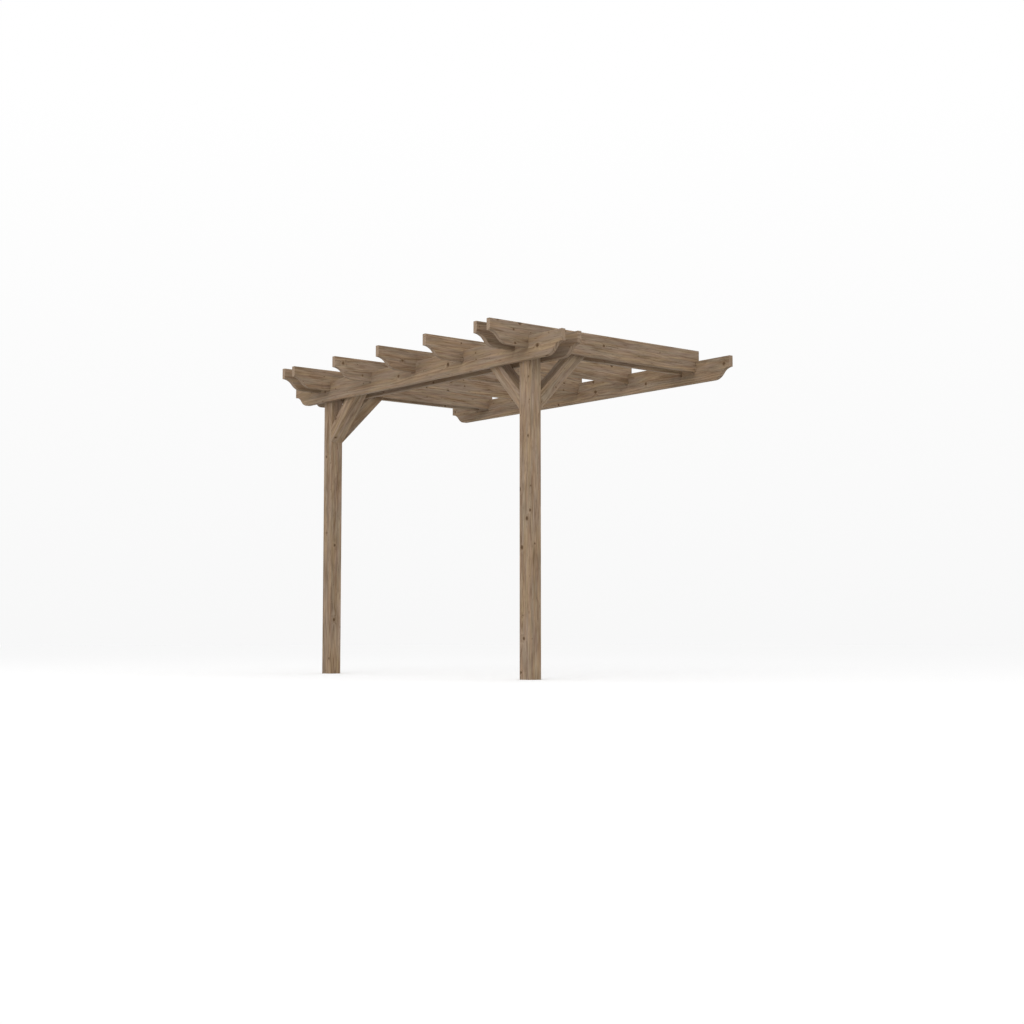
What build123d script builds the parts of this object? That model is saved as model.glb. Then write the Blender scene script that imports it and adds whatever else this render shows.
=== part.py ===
"""Wall-mounted garden pergola of planed softwood, an open frame with no moving piece.

Two posts carry a pair of front beams, the rafters are notched over the front beams and over a wall beam,
and knee braces stiffen the posts both ways. Millimetres, +Z up, +X along the wall and +Y towards the wall.
The origin is the middle of the wall beam's back face, the face that is bolted to the wall.
"""
import os
from math import cos, radians, tan

from build123d import *

os.makedirs("parts", exist_ok=True)

# Boards: one planed stock for the front beams, the rafters and the wall beam
board_thickness = 33.0
board_depth = 145.0
board_arris = 3.0  # radius of the eased edges

# Posts
post_width = 95.0
post_arris = 5.0  # radius of the eased long edges
post_head_arris = 3.0

# Knee braces, as thick as a post, so that they fit between two paired boards
brace_depth = 80.0
brace_arris = 3.0
brace_drop = 290.0  # from the beams' underside down to the brace's heel on the post
brace_angle = 45.0  # degrees from level
brace_lap_share = 0.5  # how far the brace reaches up between the boards, of their depth

# Layout
clear_height = 1940.0  # ground to the underside of the beams
projection = 1780.0  # wall to the rafter tails
tail_overhang = 300.0  # rafter tails in front of the outer beam
side_overhang = 305.0  # beam ends past the outermost rafters
rafter_spacing = 520.0  # centre to centre, between the paired rafters
single_rafters = 3

# Shaped ends and notches
end_flat_share = 0.5  # upright flat at the top of a shaped end, of the board's depth
end_run = 150.0  # length of the S curve along the board
notch_share = 0.5  # depth of a rafter's notch over a beam, of the board's depth

# Heights
beam_top = board_depth / 2
beam_bottom = -board_depth / 2
ground = beam_bottom - clear_height
rafter_bottom = beam_top - notch_share * board_depth
rafter_top = rafter_bottom + board_depth

# Places along the wall: a pair of rafters grips each post, and the single rafters are spread between the pairs
pair_pitch = post_width + board_thickness
inner_span = (single_rafters + 1) * rafter_spacing
post_x = (inner_span + pair_pitch) / 2
inner_rafters = [rafter_spacing * i - inner_span / 2 for i in range(single_rafters + 2)]
rafter_places = [inner_rafters[0] - pair_pitch, *inner_rafters, inner_rafters[-1] + pair_pitch]
beam_reach = rafter_places[-1] + board_thickness / 2 + side_overhang

# Places out from the wall, as the front face of each beam and the middle of the posts
tail = -projection
outer_beam_front = tail + tail_overhang
post_front = outer_beam_front + board_thickness
post_y = post_front + post_width / 2
inner_beam_front = post_front + post_width
wall_beam_front = -board_thickness


def draw_shaped_end(tip, inward, top):
    """S curve of a shaped end in the current line, from the foot of its upright flat to the underside.

    A hollow arc leaves the flat level and a swelling arc of the same radius lies down on the underside.
    """
    flat_foot = top - end_flat_share * board_depth
    underside = top - board_depth
    middle = (tip + inward * end_run / 2, (flat_foot + underside) / 2)
    hollow = TangentArc((tip, flat_foot), middle, tangent=(inward, 0))
    swell = TangentArc(middle, (tip + inward * end_run, underside), tangent=hollow % 1)
    return hollow @ 0, swell @ 1


# Front beams and wall beam: the same board, shaped at both ends
beam_fronts = {
    "front_beam_outer": outer_beam_front,
    "front_beam_inner": inner_beam_front,
    "wall_beam": wall_beam_front,
}
for beam_name, beam_front in beam_fronts.items():
    with BuildPart() as beam:
        with BuildSketch(Plane.XZ.offset(-beam_front - board_thickness)):
            with BuildLine():
                flat_foot, heel = draw_shaped_end(beam_reach, -1, beam_top)
                Polyline(flat_foot, (beam_reach, beam_top), (0, beam_top))
                Line(heel, (0, beam_bottom))
                mirror(about=Plane.YZ)
            make_face()
        extrude(amount=board_thickness)
        broad_faces = beam.faces().sort_by(SortBy.AREA)[-2:]
        fillet(broad_faces.edges(), radius=board_arris)
    beam.part.label = beam_name
    export_step(beam.part, f"parts/{beam_name}.step")

# Rafters: a shaped tail in front, a notch over each front beam and a rebate over the wall beam
for rafter_number, rafter_x in enumerate(rafter_places, start=1):
    with BuildPart() as rafter:
        with BuildSketch(Plane.YZ.offset(rafter_x - board_thickness / 2)):
            with BuildLine():
                flat_foot, heel = draw_shaped_end(tail, 1, rafter_top)
                underside = [heel]
                for notch_front in (outer_beam_front, inner_beam_front):
                    notch_back = notch_front + board_thickness
                    underside += [(notch_front, rafter_bottom), (notch_front, beam_top)]
                    underside += [(notch_back, beam_top), (notch_back, rafter_bottom)]
                underside += [(wall_beam_front, rafter_bottom), (wall_beam_front, beam_top)]
                Polyline(*underside, (0, beam_top), (0, rafter_top), (tail, rafter_top), flat_foot)
            make_face()
        extrude(amount=board_thickness)
        long_edges = rafter.edges().filter_by(Axis.Y).group_by(Axis.Z)
        broad_faces = rafter.faces().sort_by(SortBy.AREA)[-2:]
        tail_edges = broad_faces.edges().filter_by_position(Axis.Y, tail, tail + end_run)
        fillet(long_edges[0] + long_edges[-1] + tail_edges, radius=board_arris)
    rafter.part.label = f"rafter_{rafter_number}"
    export_step(rafter.part, f"parts/rafter_{rafter_number}.step")

# Posts: from the ground up between the beams and the paired rafters, level with the rafters' tops
for side_name, side in (("left", -1), ("right", 1)):
    with BuildPart() as post:
        with BuildSketch(Plane.XY.offset(ground)):
            with Locations((side * post_x, post_y)):
                RectangleRounded(post_width, post_width, post_arris)
        extrude(amount=rafter_top - ground)
        fillet(post.faces().sort_by(Axis.Z)[-1].edges(), radius=post_head_arris)
    post.part.label = f"post_{side_name}"
    export_step(post.part, f"parts/post_{side_name}.step")

# Knee braces: a plumb cut against the post and a level head between the boards
brace_heel = beam_bottom - brace_drop
plumb_cut = brace_depth / cos(radians(brace_angle))
rise_per_run = tan(radians(brace_angle))


def draw_brace(post_face, outward, boards_bottom):
    """Outline of a brace that leaves a post's face at the given place and leans outward and up."""
    head = boards_bottom + brace_lap_share * board_depth
    lower_run = (head - brace_heel) / rise_per_run
    upper_run = (head - brace_heel - plumb_cut) / rise_per_run
    Polyline(
        (post_face, brace_heel),
        (post_face + outward * lower_run, head),
        (post_face + outward * upper_run, head),
        (post_face, brace_heel + plumb_cut),
        close=True,
    )


for side_name, side in (("left", -1), ("right", 1)):
    with BuildPart() as brace_to_beam:
        with BuildSketch(Plane.XZ.offset(-post_y)):
            with BuildLine():
                draw_brace(side * (post_x - post_width / 2), -side, beam_bottom)
            make_face()
        extrude(amount=post_width / 2, both=True)
        fillet(brace_to_beam.edges().sort_by(SortBy.LENGTH)[-4:], radius=brace_arris)
    brace_to_beam.part.label = f"brace_{side_name}_to_beam"
    export_step(brace_to_beam.part, f"parts/brace_{side_name}_to_beam.step")

    with BuildPart() as brace_to_wall:
        with BuildSketch(Plane.YZ.offset(side * post_x)):
            with BuildLine():
                draw_brace(post_y + post_width / 2, 1, rafter_bottom)
            make_face()
        extrude(amount=post_width / 2, both=True)
        fillet(brace_to_wall.edges().sort_by(SortBy.LENGTH)[-4:], radius=brace_arris)
    brace_to_wall.part.label = f"brace_{side_name}_to_wall"
    export_step(brace_to_wall.part, f"parts/brace_{side_name}_to_wall.step")
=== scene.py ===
"""Looks of the wall-mounted pergola: knotty softwood under a thin brown stain, in a white studio."""
from math import radians, sqrt

import bmesh
import bpy
from mathutils import Matrix, Vector


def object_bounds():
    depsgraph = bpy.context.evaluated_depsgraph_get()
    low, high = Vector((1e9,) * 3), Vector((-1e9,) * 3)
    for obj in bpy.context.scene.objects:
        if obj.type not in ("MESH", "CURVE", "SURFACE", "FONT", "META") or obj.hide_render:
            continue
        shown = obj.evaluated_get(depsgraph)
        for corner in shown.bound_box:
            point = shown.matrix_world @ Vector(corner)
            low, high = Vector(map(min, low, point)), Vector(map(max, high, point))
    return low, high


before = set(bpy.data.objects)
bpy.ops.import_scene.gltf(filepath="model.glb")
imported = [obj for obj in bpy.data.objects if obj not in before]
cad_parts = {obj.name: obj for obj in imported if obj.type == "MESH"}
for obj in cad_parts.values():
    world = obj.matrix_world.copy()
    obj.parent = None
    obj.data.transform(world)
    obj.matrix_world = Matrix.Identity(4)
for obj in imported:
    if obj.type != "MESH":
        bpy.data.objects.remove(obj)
cad_low, cad_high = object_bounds()


def linear(hex_colour, tone=1.0):
    """Linear RGBA of an sRGB hex colour, made lighter or darker by a tone."""
    shares = [int(hex_colour[i:i + 2], 16) / 255 for i in (1, 3, 5)]
    return (*[tone * (c / 12.92 if c <= 0.04045 else ((c + 0.055) / 1.055) ** 2.4) for c in shares], 1.0)


def add_node(tree, kind, inputs=(), **settings):
    """Adds a node with its settings.

    An input is a value, a socket to link, or a node whose first output is linked.
    """
    made = tree.nodes.new(kind)
    for name, value in settings.items():
        setattr(made, name, value)
    for socket, value in dict(inputs).items():
        if isinstance(value, bpy.types.Node):
            value = value.outputs[0]
        if isinstance(value, bpy.types.NodeSocket):
            tree.links.new(value, made.inputs[socket])
        else:
            made.inputs[socket].default_value = value
    return made


# Layers of the wood's figure: length along the grain and width across it in metres, and octaves of detail
FIGURE_LAYERS = {
    "wobble": (0.42, 0.060, 2.0),  # how the growth rings stray
    "patch": (0.26, 0.045, 2.0),  # patches that took more or less stain
    "streak": (0.14, 0.009, 2.0),  # short light and dark streaks
    "stain": (0.30, 0.030, 2.0),  # patches where the stain took warmer or greyer
    "fibre": (0.07, 0.0035, 3.0),  # real fibre is under 1 mm; drawn coarser, because that is too fine to show
    "fleck": (0.045, 0.005, 1.0),  # short dark flecks of resin
    "tint": (0.20, 0.020, 2.0),  # patches where the stain took redder or more olive
}
LAYER_ROUGHNESS = 0.55  # how much the finer octaves count
TIMBER_SHIFT, LAYER_SHIFT = (5.7, 2.3), (11.0, 7.0)  # give each timber and layer its own stretch of noise

# Growth rings, in metres
RING_WIDTH = 0.009  # real rings are nearer 3 mm; drawn wider, because those are too fine to show
RING_DETAIL, RING_ROUGHNESS = 2.0, 0.6
RING_WOBBLE = 0.026  # how far a ring strays from round
RING_TAPER = 0.012  # how far the rings draw in per metre of trunk
POST_HEART, BOARD_HEART = 0.060, 0.085  # from the pith to the paler sapwood
SAPWOOD_BORDER = 0.006  # half the width of the step to the sapwood
SAPWOOD_PALER = 0.045  # in the figure's own scale

# Knots, in metres
KNOT_PITCH = (0.18, 0.085)  # along and across the timber
KNOT_SCATTER = 0.9  # how freely they leave an even layout
KNOT_SHIFT = (7.3, 3.1)  # gives each timber its own layout
EDGE_SHIFT = 3.7  # between the knots of the wide faces and those of the narrow faces
KNOT_RADIUS = 0.014  # of the largest knots
KNOT_SIZE_POWER = 2.0  # over 1 makes most knots small
KNOT_STRETCH = 0.9  # under 1 draws them out along the grain
KNOT_RIM = 0.004
KNOT_RAGGED = 0.014  # how far a knot's outline strays from round
HALO_REACH, HALO_SHARE = 2.4, 0.45  # darker wood round a knot: its reach in knot radii, and how dark it is
SWIRL_REACH, SWIRL_MARGIN = 3.5, 0.004  # rings swing round a knot: the reach in its radii, and a little more
SWIRL_PUSH = 1.5  # how far the rings swing, in the knot's radii

# Which way a face looks, as the share of its direction across or along the timber
NARROW_FACE = 0.7  # across, from where it is a narrow face
LONG_GRAIN = (0.6, 0.3)  # along, between which the knots fade in
CUT_FACE = (0.15, 0.55)  # along, between which the end grain fades in

# Shares of the layers in the figure; the short streaks have a share for each kind of timber
RING_SHARE, PATCH_SHARE, FIBRE_SHARE = 0.32, 0.27, 0.15

# Values of a layer between which its mark fades in, and how strong the mark is
STAIN_FADE = (0.38, 0.62)
FLECK_FADE, FLECK_SHARE = (0.64, 0.74), 0.6
END_RING_FADE = (0.3, 0.6)
ARRIS_WIDTH, ARRIS_SHARE = 0.005, 0.15  # metres in from the edge

DARK_GRAIN, MID_GRAIN, PALE_GRAIN = "#75604B", "#96836F", "#AD9983"
WARM_STAIN, GREY_STAIN = "#FFF5E5", "#F8F7F7"
RED_STAIN, OLIVE_STAIN = "#FFFCFF", "#FCFFFC"
RESIN_FLECK = "#5F4830"
KNOT_HEART, KNOT_EDGE, KNOT_HALO = "#4F3A24", "#745B41", "#8A7258"
END_GRAIN_PALE, END_GRAIN_DARK = "#AA937D", "#7E6954"
WORN_ARRIS = "#AA957D"

DARK_ROUGHNESS, PALE_ROUGHNESS = 0.86, 0.70
RELIEF_STRENGTH, RELIEF_DEPTH = 0.4, 0.0006  # planed wood is nearly flat
WOOD_IOR, STAIN_SHINE = 1.5, 0.3


def grain_layers(tree, timber, seed):
    """Noise drawn out along the grain, one layer for each size of figure."""
    layers = {}
    for number, (layer, (length, width, detail)) in enumerate(FIGURE_LAYERS.items()):
        own_stretch = (TIMBER_SHIFT[0] * seed + LAYER_SHIFT[0] * number, TIMBER_SHIFT[1] * seed,
                       LAYER_SHIFT[1] * number)
        drawn = add_node(tree, "ShaderNodeMapping", {
            "Vector": timber, "Scale": (1 / length, 1 / width, 1 / width), "Location": own_stretch})
        layers[layer] = add_node(tree, "ShaderNodeTexNoise", {
            "Vector": drawn, "Scale": 1.0, "Detail": detail, "Roughness": LAYER_ROUGHNESS}).outputs["Fac"]
    return layers


def nearest_knot(tree, own, facing, ragged, seed):
    """Distance to the middle of the nearest knot, and that knot's radius.

    Branches are cut square, so the two wide faces share one layout of knots and the two narrow faces another.
    """
    on_edge = add_node(tree, "ShaderNodeMath", {0: facing[1], 1: NARROW_FACE}, operation="GREATER_THAN")
    sideways = add_node(tree, "ShaderNodeMix", {"Factor": on_edge, "A": own[1], "B": own[2]})
    lengthways = add_node(tree, "ShaderNodeMath", {0: on_edge, 1: EDGE_SHIFT, 2: own[0]},
                          operation="MULTIPLY_ADD")
    layout = add_node(tree, "ShaderNodeCombineXYZ", {"X": lengthways, "Y": sideways})
    layout = add_node(tree, "ShaderNodeMapping", {
        "Vector": layout, "Scale": (1 / KNOT_PITCH[0], 1 / KNOT_PITCH[1], 1.0),
        "Location": (KNOT_SHIFT[0] * seed, KNOT_SHIFT[1] * seed, 0.0)})
    cell = add_node(tree, "ShaderNodeTexVoronoi", {
        "Vector": layout, "Scale": 1.0, "Randomness": KNOT_SCATTER}, voronoi_dimensions="2D").outputs
    apart = add_node(tree, "ShaderNodeVectorMath", {0: layout, 1: cell["Position"]}, operation="SUBTRACT")
    apart = add_node(tree, "ShaderNodeVectorMath", {
        0: apart, 1: (KNOT_STRETCH * KNOT_PITCH[0], KNOT_PITCH[1], 0.0)}, operation="MULTIPLY")
    from_knot = add_node(tree, "ShaderNodeVectorMath", {0: apart}, operation="LENGTH").outputs["Value"]
    from_knot = add_node(tree, "ShaderNodeMath", {0: ragged, 1: KNOT_RAGGED, 2: from_knot},
                         operation="MULTIPLY_ADD")
    from_knot = add_node(tree, "ShaderNodeMath", {0: from_knot, 1: KNOT_RAGGED / 2}, operation="SUBTRACT")
    chance = add_node(tree, "ShaderNodeSeparateColor", {"Color": cell["Color"]})
    few_large = add_node(tree, "ShaderNodeMath", {0: chance, 1: KNOT_SIZE_POWER}, operation="POWER")
    radius = add_node(tree, "ShaderNodeMath", {0: few_large, 1: KNOT_RADIUS}, operation="MULTIPLY")
    return from_knot, radius


def knot_marks(tree, from_knot, radius, long_grain):
    """The dark knot and its colour, the darker wood round it, and how far the growth rings swing round it."""
    inside = add_node(tree, "ShaderNodeMath", {0: radius, 1: KNOT_RIM}, operation="SUBTRACT")
    outside = add_node(tree, "ShaderNodeMath", {0: radius, 1: KNOT_RIM}, operation="ADD")
    knot = add_node(tree, "ShaderNodeMapRange", {
        "Value": from_knot, "From Min": outside, "From Max": inside, "To Max": long_grain},
        interpolation_type="SMOOTHSTEP")
    heart = add_node(tree, "ShaderNodeMapRange", {"Value": from_knot, "From Min": 0.0, "From Max": outside})
    knot_colour = add_node(tree, "ShaderNodeMixRGB", {
        "Fac": heart, "Color1": linear(KNOT_HEART), "Color2": linear(KNOT_EDGE)})
    halo_reach = add_node(tree, "ShaderNodeMath", {0: radius, 1: HALO_REACH}, operation="MULTIPLY")
    halo = add_node(tree, "ShaderNodeMapRange", {
        "Value": from_knot, "From Min": halo_reach, "From Max": radius, "To Max": HALO_SHARE})
    halo = add_node(tree, "ShaderNodeMath", {0: halo, 1: long_grain}, operation="MULTIPLY")
    swirl_reach = add_node(tree, "ShaderNodeMath", {0: radius, 1: SWIRL_REACH, 2: SWIRL_MARGIN},
                           operation="MULTIPLY_ADD")
    swirl_push = add_node(tree, "ShaderNodeMath", {0: radius, 1: SWIRL_PUSH}, operation="MULTIPLY")
    swirl = add_node(tree, "ShaderNodeMapRange", {
        "Value": from_knot, "From Min": swirl_reach, "From Max": 0.0, "To Max": swirl_push},
        interpolation_type="SMOOTHERSTEP")
    swirl = add_node(tree, "ShaderNodeMath", {0: swirl, 1: long_grain}, operation="MULTIPLY")
    return knot, knot_colour, halo, swirl


def growth_rings(tree, timber, along, wobble, swirl, pith, heart_radius):
    """Rings round the pith, which stray and swing round the knots, and the step to the paler sapwood."""
    from_pith = add_node(tree, "ShaderNodeVectorMath", {
        0: timber, 1: (0.0, 1.0, 1.0), 2: (0.0, -pith[0], -pith[1])}, operation="MULTIPLY_ADD")
    from_pith = add_node(tree, "ShaderNodeVectorMath", {0: from_pith}, operation="LENGTH").outputs["Value"]
    ring = add_node(tree, "ShaderNodeMath", {0: wobble, 1: 2 * RING_WOBBLE, 2: from_pith},
                    operation="MULTIPLY_ADD")
    ring = add_node(tree, "ShaderNodeMath", {0: along, 1: RING_TAPER, 2: ring}, operation="MULTIPLY_ADD")
    ring = add_node(tree, "ShaderNodeMath", {0: ring, 1: swirl}, operation="ADD")
    border = heart_radius + RING_WOBBLE
    sapwood = add_node(tree, "ShaderNodeMapRange", {
        "Value": ring, "From Min": border - SAPWOOD_BORDER, "From Max": border + SAPWOOD_BORDER,
        "To Min": -SAPWOOD_PALER / 2, "To Max": SAPWOOD_PALER / 2}, interpolation_type="SMOOTHSTEP")
    ring = add_node(tree, "ShaderNodeMath", {0: ring, 1: 1 / RING_WIDTH}, operation="MULTIPLY")
    ring = add_node(tree, "ShaderNodeTexNoise", {
        "W": ring, "Scale": 1.0, "Detail": RING_DETAIL, "Roughness": RING_ROUGHNESS}, noise_dimensions="1D")
    return ring.outputs["Fac"], sapwood


def stained_softwood(name, turn, low, high, seed, pith, heart_radius, tone, streak_share, spread, end_share):
    """Planed spruce or pine under a thin matt brown stain.

    The eye gets soft bands and streaks along the timber, paler sapwood far from the pith, arches where the
    rings swing round small dark knots, and paler cut ends that show the rings. Coordinates are the timber's
    own: along its length, across its wide face and through it.
    """
    material = bpy.data.materials.new(name)
    material.use_nodes = True
    tree = material.node_tree
    tree.nodes.clear()
    centre, half = (low + high) / 2, (high - low) / 2
    place = add_node(tree, "ShaderNodeTexCoord").outputs
    timber = add_node(tree, "ShaderNodeMapping", {
        "Vector": place["Object"], "Rotation": turn.to_euler(), "Location": -centre})
    own = add_node(tree, "ShaderNodeSeparateXYZ", {0: timber}).outputs
    facing = add_node(tree, "ShaderNodeMapping", {"Vector": place["Normal"], "Rotation": turn.to_euler()},
                      vector_type="VECTOR")
    facing = add_node(tree, "ShaderNodeVectorMath", {0: facing}, operation="ABSOLUTE")
    facing = add_node(tree, "ShaderNodeSeparateXYZ", {0: facing}).outputs

    grain = grain_layers(tree, timber, seed)
    long_grain = add_node(tree, "ShaderNodeMapRange", {
        "Value": facing[0], "From Min": LONG_GRAIN[0], "From Max": LONG_GRAIN[1]})
    from_knot, radius = nearest_knot(tree, own, facing, grain["fleck"], seed)
    knot, knot_colour, halo, swirl = knot_marks(tree, from_knot, radius, long_grain)
    ring, sapwood = growth_rings(tree, timber, own[0], grain["wobble"], swirl, pith, heart_radius)

    # Rings, streaks, patches and fibre add up to the figure, which runs from dark to pale grain
    figure = add_node(tree, "ShaderNodeMath", {0: ring, 1: RING_SHARE, 2: sapwood}, operation="MULTIPLY_ADD")
    for layer, share in (("streak", streak_share), ("patch", PATCH_SHARE), ("fibre", FIBRE_SHARE)):
        figure = add_node(tree, "ShaderNodeMath", {0: grain[layer], 1: share, 2: figure},
                          operation="MULTIPLY_ADD")
    middle = (RING_SHARE + streak_share + PATCH_SHARE + FIBRE_SHARE) / 2
    figure = add_node(tree, "ShaderNodeMapRange", {
        "Value": figure, "From Min": middle - spread, "From Max": middle + spread})
    colour = add_node(tree, "ShaderNodeValToRGB", {"Fac": figure})
    stops = colour.color_ramp.elements
    stops.new(0.5)
    for stop, shade in zip(stops, (DARK_GRAIN, MID_GRAIN, PALE_GRAIN)):
        stop.color = linear(shade, tone)

    # The stain took warmer or greyer and redder or more olive in patches, and resin flecks show through it
    for layer, tint, other_tint in (("stain", WARM_STAIN, GREY_STAIN), ("tint", RED_STAIN, OLIVE_STAIN)):
        stain = add_node(tree, "ShaderNodeMapRange", {
            "Value": grain[layer], "From Min": STAIN_FADE[0], "From Max": STAIN_FADE[1]})
        stain = add_node(tree, "ShaderNodeMixRGB", {
            "Fac": stain, "Color1": linear(tint), "Color2": linear(other_tint)})
        colour = add_node(tree, "ShaderNodeMixRGB", {"Fac": 1.0, "Color1": colour, "Color2": stain},
                          blend_type="MULTIPLY")
    fleck = add_node(tree, "ShaderNodeMapRange", {
        "Value": grain["fleck"], "From Min": FLECK_FADE[0], "From Max": FLECK_FADE[1], "To Max": FLECK_SHARE})
    colour = add_node(tree, "ShaderNodeMixRGB", {
        "Fac": fleck, "Color1": colour, "Color2": linear(RESIN_FLECK)})

    # Cut ends and S curves show the rings as end grain
    end_rings = add_node(tree, "ShaderNodeMapRange", {
        "Value": ring, "From Min": END_RING_FADE[0], "From Max": END_RING_FADE[1]})
    end_grain = add_node(tree, "ShaderNodeMixRGB", {
        "Fac": end_rings, "Color1": linear(END_GRAIN_DARK), "Color2": linear(END_GRAIN_PALE)})
    cut_end = add_node(tree, "ShaderNodeMapRange", {
        "Value": facing[0], "From Min": CUT_FACE[0], "From Max": CUT_FACE[1], "To Max": end_share})
    colour = add_node(tree, "ShaderNodeMixRGB", {"Fac": cut_end, "Color1": colour, "Color2": end_grain})

    # The stain is rubbed thin on the eased edges
    rim = add_node(tree, "ShaderNodeVectorMath", {0: timber}, operation="ABSOLUTE")
    rim = add_node(tree, "ShaderNodeVectorMath", {0: half, 1: rim}, operation="SUBTRACT")
    rim = add_node(tree, "ShaderNodeSeparateXYZ", {0: rim}).outputs
    rim = add_node(tree, "ShaderNodeMath", {0: rim[1], 1: rim[2]}, operation="MAXIMUM")
    worn = add_node(tree, "ShaderNodeMapRange", {
        "Value": rim, "From Min": ARRIS_WIDTH, "From Max": 0.0, "To Max": ARRIS_SHARE})
    colour = add_node(tree, "ShaderNodeMixRGB", {
        "Fac": worn, "Color1": colour, "Color2": linear(WORN_ARRIS, tone)})
    colour = add_node(tree, "ShaderNodeMixRGB", {
        "Fac": halo, "Color1": colour, "Color2": linear(KNOT_HALO, tone)})
    colour = add_node(tree, "ShaderNodeMixRGB", {"Fac": knot, "Color1": colour, "Color2": knot_colour})

    relief = add_node(tree, "ShaderNodeMath", {0: figure, 1: knot}, operation="SUBTRACT")
    relief = add_node(tree, "ShaderNodeBump", {
        "Height": relief, "Strength": RELIEF_STRENGTH, "Distance": RELIEF_DEPTH})
    roughness = add_node(tree, "ShaderNodeMapRange", {
        "Value": figure, "To Min": DARK_ROUGHNESS, "To Max": PALE_ROUGHNESS})
    finish = add_node(tree, "ShaderNodeBsdfPrincipled", {
        "Base Color": colour, "Roughness": roughness, "Normal": relief, "IOR": WOOD_IOR,
        "Specular IOR Level": STAIN_SHINE})
    add_node(tree, "ShaderNodeOutputMaterial", {"Surface": finish})
    return material


# How each timber lies: along its length, then across its wide face
SLOPE = 1 / sqrt(2)
LIES = {
    "post": ((0, 0, 1), (1, 0, 0)),
    "front_beam": ((1, 0, 0), (0, 0, 1)),
    "wall_beam": ((1, 0, 0), (0, 0, 1)),
    "rafter": ((0, 1, 0), (0, 0, 1)),
    "brace_left_to_beam": ((SLOPE, 0, SLOPE), (-SLOPE, 0, SLOPE)),
    "brace_right_to_beam": ((-SLOPE, 0, SLOPE), (SLOPE, 0, SLOPE)),
    "brace_left_to_wall": ((0, SLOPE, SLOPE), (0, -SLOPE, SLOPE)),
    "brace_right_to_wall": ((0, SLOPE, SLOPE), (0, -SLOPE, SLOPE)),
}

# How much paler or darker than the rest a timber took the stain; the inner front beam and rafter 6 are
# darkened all over as painted shade, for the deeper shade in the narrow gaps behind the outer front beam and
# rafter 7
TONES_AND_PAINTED_SHADE = {
    "post_left": 1.04, "post_right": 1.06, "brace_left_to_beam": 1.13, "brace_right_to_beam": 1.10,
    "front_beam_inner": 0.87, "wall_beam": 0.94,
    "rafter_4": 0.95, "rafter_5": 1.05, "rafter_6": 0.87, "rafter_7": 0.97,
}

# Share of the short streaks in the figure, and half the figure's range from dark to pale
STREAKS = {
    "post": (0.42, 0.14), "rafter": (0.34, 0.14), "wall_beam": (0.26, 0.14), "front_beam": (0.18, 0.18),
    "brace": (0.18, 0.14),
}

# How far the cut ends show end grain
RAFTER_END_SHARE, END_SHARE = 0.9, 0.5

# Place of the pith across and through a timber, in metres: near the middle of the posts and braces, outside
# the boards' wide faces, and swung about from one timber to the next
HEART_SWING = (0.03, 0.015)
BOARD_SWING, BOARD_PITH_DEPTH = (0.09, 0.03), 0.045
SWING_STEP = 0.618  # of a full swing, so that neighbours differ
# The outer front beam's pith is set high in it, so its lower half is paler than its upper half
PITHS = {"front_beam_outer": (0.05, -0.045), "post_right": (-0.015, 0.002)}

for seed, (node_name, node) in enumerate(sorted(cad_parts.items()), start=1):
    along, across = [Vector(way) for kind, ways in LIES.items() if node_name.startswith(kind) for way in ways]
    turn = Matrix((along, across, along.cross(across)))
    corners = [turn @ v.co for v in node.data.vertices]
    low = Vector([min(c[i] for c in corners) for i in range(3)])
    high = Vector([max(c[i] for c in corners) for i in range(3)])
    swing = (seed * SWING_STEP) % 1.0 - 0.5
    if node_name.startswith(("post", "brace")):
        heart_radius = POST_HEART
        pith = (HEART_SWING[0] * swing, HEART_SWING[1] * swing)
    else:
        heart_radius = BOARD_HEART
        pith = (BOARD_SWING[0] * swing, BOARD_PITH_DEPTH + BOARD_SWING[1] * swing)
    streak_share, spread = [shares for kind, shares in STREAKS.items() if node_name.startswith(kind)][0]
    node.data.materials.clear()
    node.data.materials.append(stained_softwood(
        f"stained_softwood_{node_name}", turn, low, high, seed, PITHS.get(node_name, pith), heart_radius,
        TONES_AND_PAINTED_SHADE.get(node_name, 1.0), streak_share, spread,
        RAFTER_END_SHARE if node_name.startswith("rafter") else END_SHARE))

# Floor and backdrop: pale grey far off and white near by to the eye, and evenly white as a source of light.
# The floor throws back less light than it shows.
FLOOR_REACH = 40.0
WHITE, FAR_GREY, FLOOR_BOUNCE = "#FFFFFF", "#F8F8F8", "#C1C1C1"
BACKDROP_FADE = 0.32  # height above the horizon, as a sine, from where the backdrop is white


def seen_share(tree):
    """One for rays that show the floor or backdrop, straight, mirrored or through glass, else nought."""
    ray = add_node(tree, "ShaderNodeLightPath").outputs
    mirrored = add_node(tree, "ShaderNodeMath", {0: ray["Is Glossy Ray"], 1: ray["Is Transmission Ray"]},
                        operation="MAXIMUM")
    return add_node(tree, "ShaderNodeMath", {0: ray["Is Camera Ray"], 1: mirrored}, operation="MAXIMUM")


scene = bpy.context.scene
floor_mesh = bpy.data.meshes.new("studio_floor")
shape = bmesh.new()
bmesh.ops.create_grid(shape, x_segments=1, y_segments=1, size=FLOOR_REACH,
                      matrix=Matrix.Translation((0, 0, cad_low.z)))
shape.to_mesh(floor_mesh)
shape.free()
floor = bpy.data.objects.new("studio_floor", floor_mesh)
scene.collection.objects.link(floor)

# Matt emulsion: an even white with no shine at all
floor_paint = bpy.data.materials.new("matt_white_floor_paint")
floor_paint.use_nodes = True
floor_tree = floor_paint.node_tree
floor_tree.nodes.clear()
paint = add_node(floor_tree, "ShaderNodeMixRGB", {
    "Fac": seen_share(floor_tree), "Color1": linear(FLOOR_BOUNCE), "Color2": linear(FAR_GREY)})
paint = add_node(floor_tree, "ShaderNodeBsdfDiffuse", {"Color": paint})
add_node(floor_tree, "ShaderNodeOutputMaterial", {"Surface": paint})
floor_mesh.materials.append(floor_paint)

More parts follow.
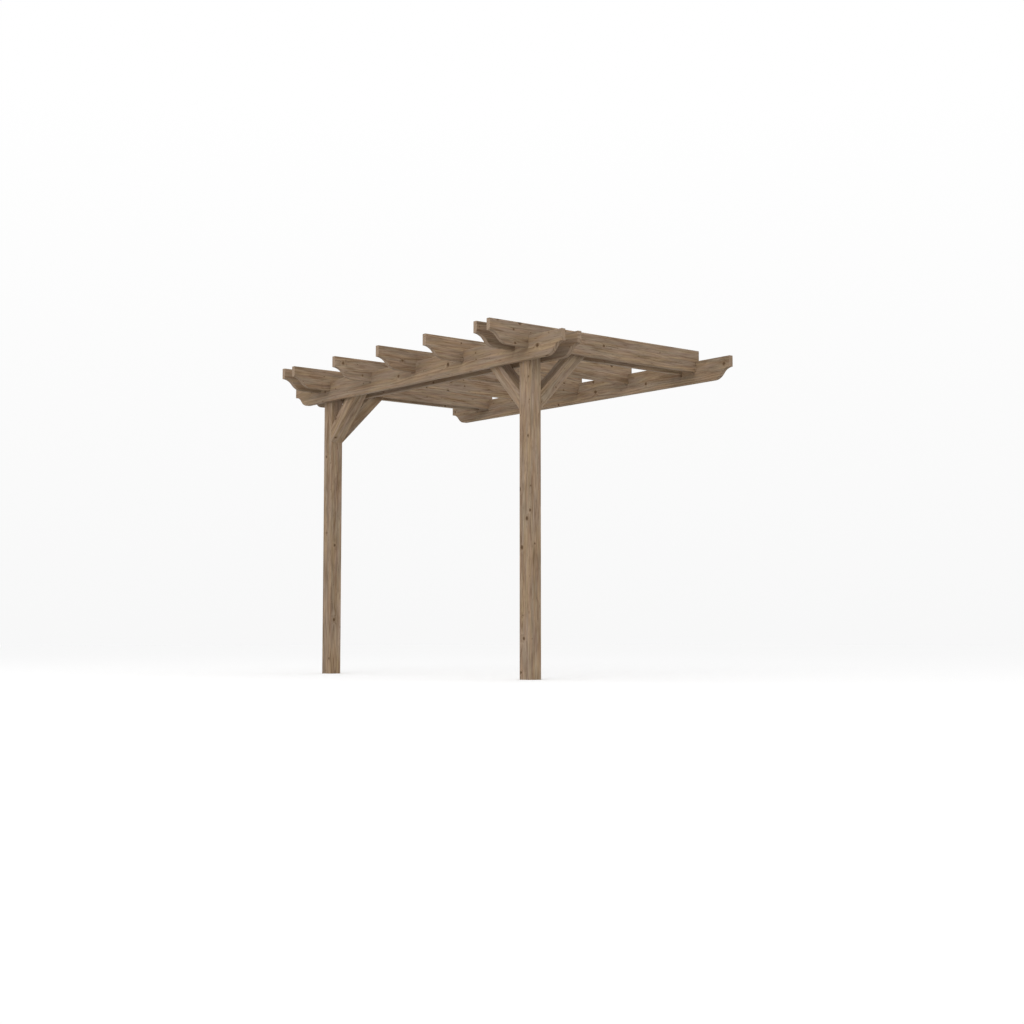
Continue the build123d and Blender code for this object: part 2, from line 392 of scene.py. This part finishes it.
# Light: an even white dome and one large soft box from the garden side
DOME_STRENGTH = 1.0
SOFT_BOX_PLACE, SOFT_BOX_SIZE, SOFT_BOX_POWER = Vector((3.5, -7.5, 4.5)), 5.0, 150.0
scene.world = bpy.data.worlds.new("white_dome")
scene.world.use_nodes = True
dome_tree = scene.world.node_tree
dome_tree.nodes.clear()
look = add_node(dome_tree, "ShaderNodeTexCoord").outputs["Generated"]
height = add_node(dome_tree, "ShaderNodeSeparateXYZ", {0: look}).outputs["Z"]
height = add_node(dome_tree, "ShaderNodeMapRange", {
    "Value": height, "From Min": 0.0, "From Max": BACKDROP_FADE})
backdrop = add_node(dome_tree, "ShaderNodeMixRGB", {
    "Fac": height, "Color1": linear(FAR_GREY), "Color2": linear(WHITE)})
backdrop = add_node(dome_tree, "ShaderNodeMixRGB", {
    "Fac": seen_share(dome_tree), "Color1": linear(WHITE), "Color2": backdrop})
dome = add_node(dome_tree, "ShaderNodeBackground", {"Color": backdrop, "Strength": DOME_STRENGTH})
add_node(dome_tree, "ShaderNodeOutputWorld", {"Surface": dome})
soft_box = bpy.data.objects.new("soft_box", bpy.data.lights.new("soft_box", "AREA"))
soft_box.data.size = SOFT_BOX_SIZE
soft_box.data.energy = SOFT_BOX_POWER
soft_box.location = SOFT_BOX_PLACE
aim = (cad_low + cad_high) / 2
soft_box.rotation_euler = (aim - SOFT_BOX_PLACE).to_track_quat("-Z", "Y").to_euler()
scene.collection.objects.link(soft_box)

# Camera, with the photo's own perspective: 0.25 m above the ground and tilted a little upwards
CAMERA_PLACE, CAMERA_TURN, CAMERA_TILT = (8.536, -7.619, -1.761), 50.733, 4.516  # metres and degrees
CAMERA_LENS, CAMERA_SENSOR = 56.06, 36.0  # millimetres
camera = bpy.data.objects.new("camera", bpy.data.cameras.new("camera"))
camera.data.sensor_width = CAMERA_SENSOR
camera.data.lens = CAMERA_LENS
camera.location = CAMERA_PLACE
camera.rotation_euler = (radians(90 + CAMERA_TILT), 0, radians(CAMERA_TURN))
scene.collection.objects.link(camera)
scene.camera = camera
scene.view_settings.view_transform = "Standard"
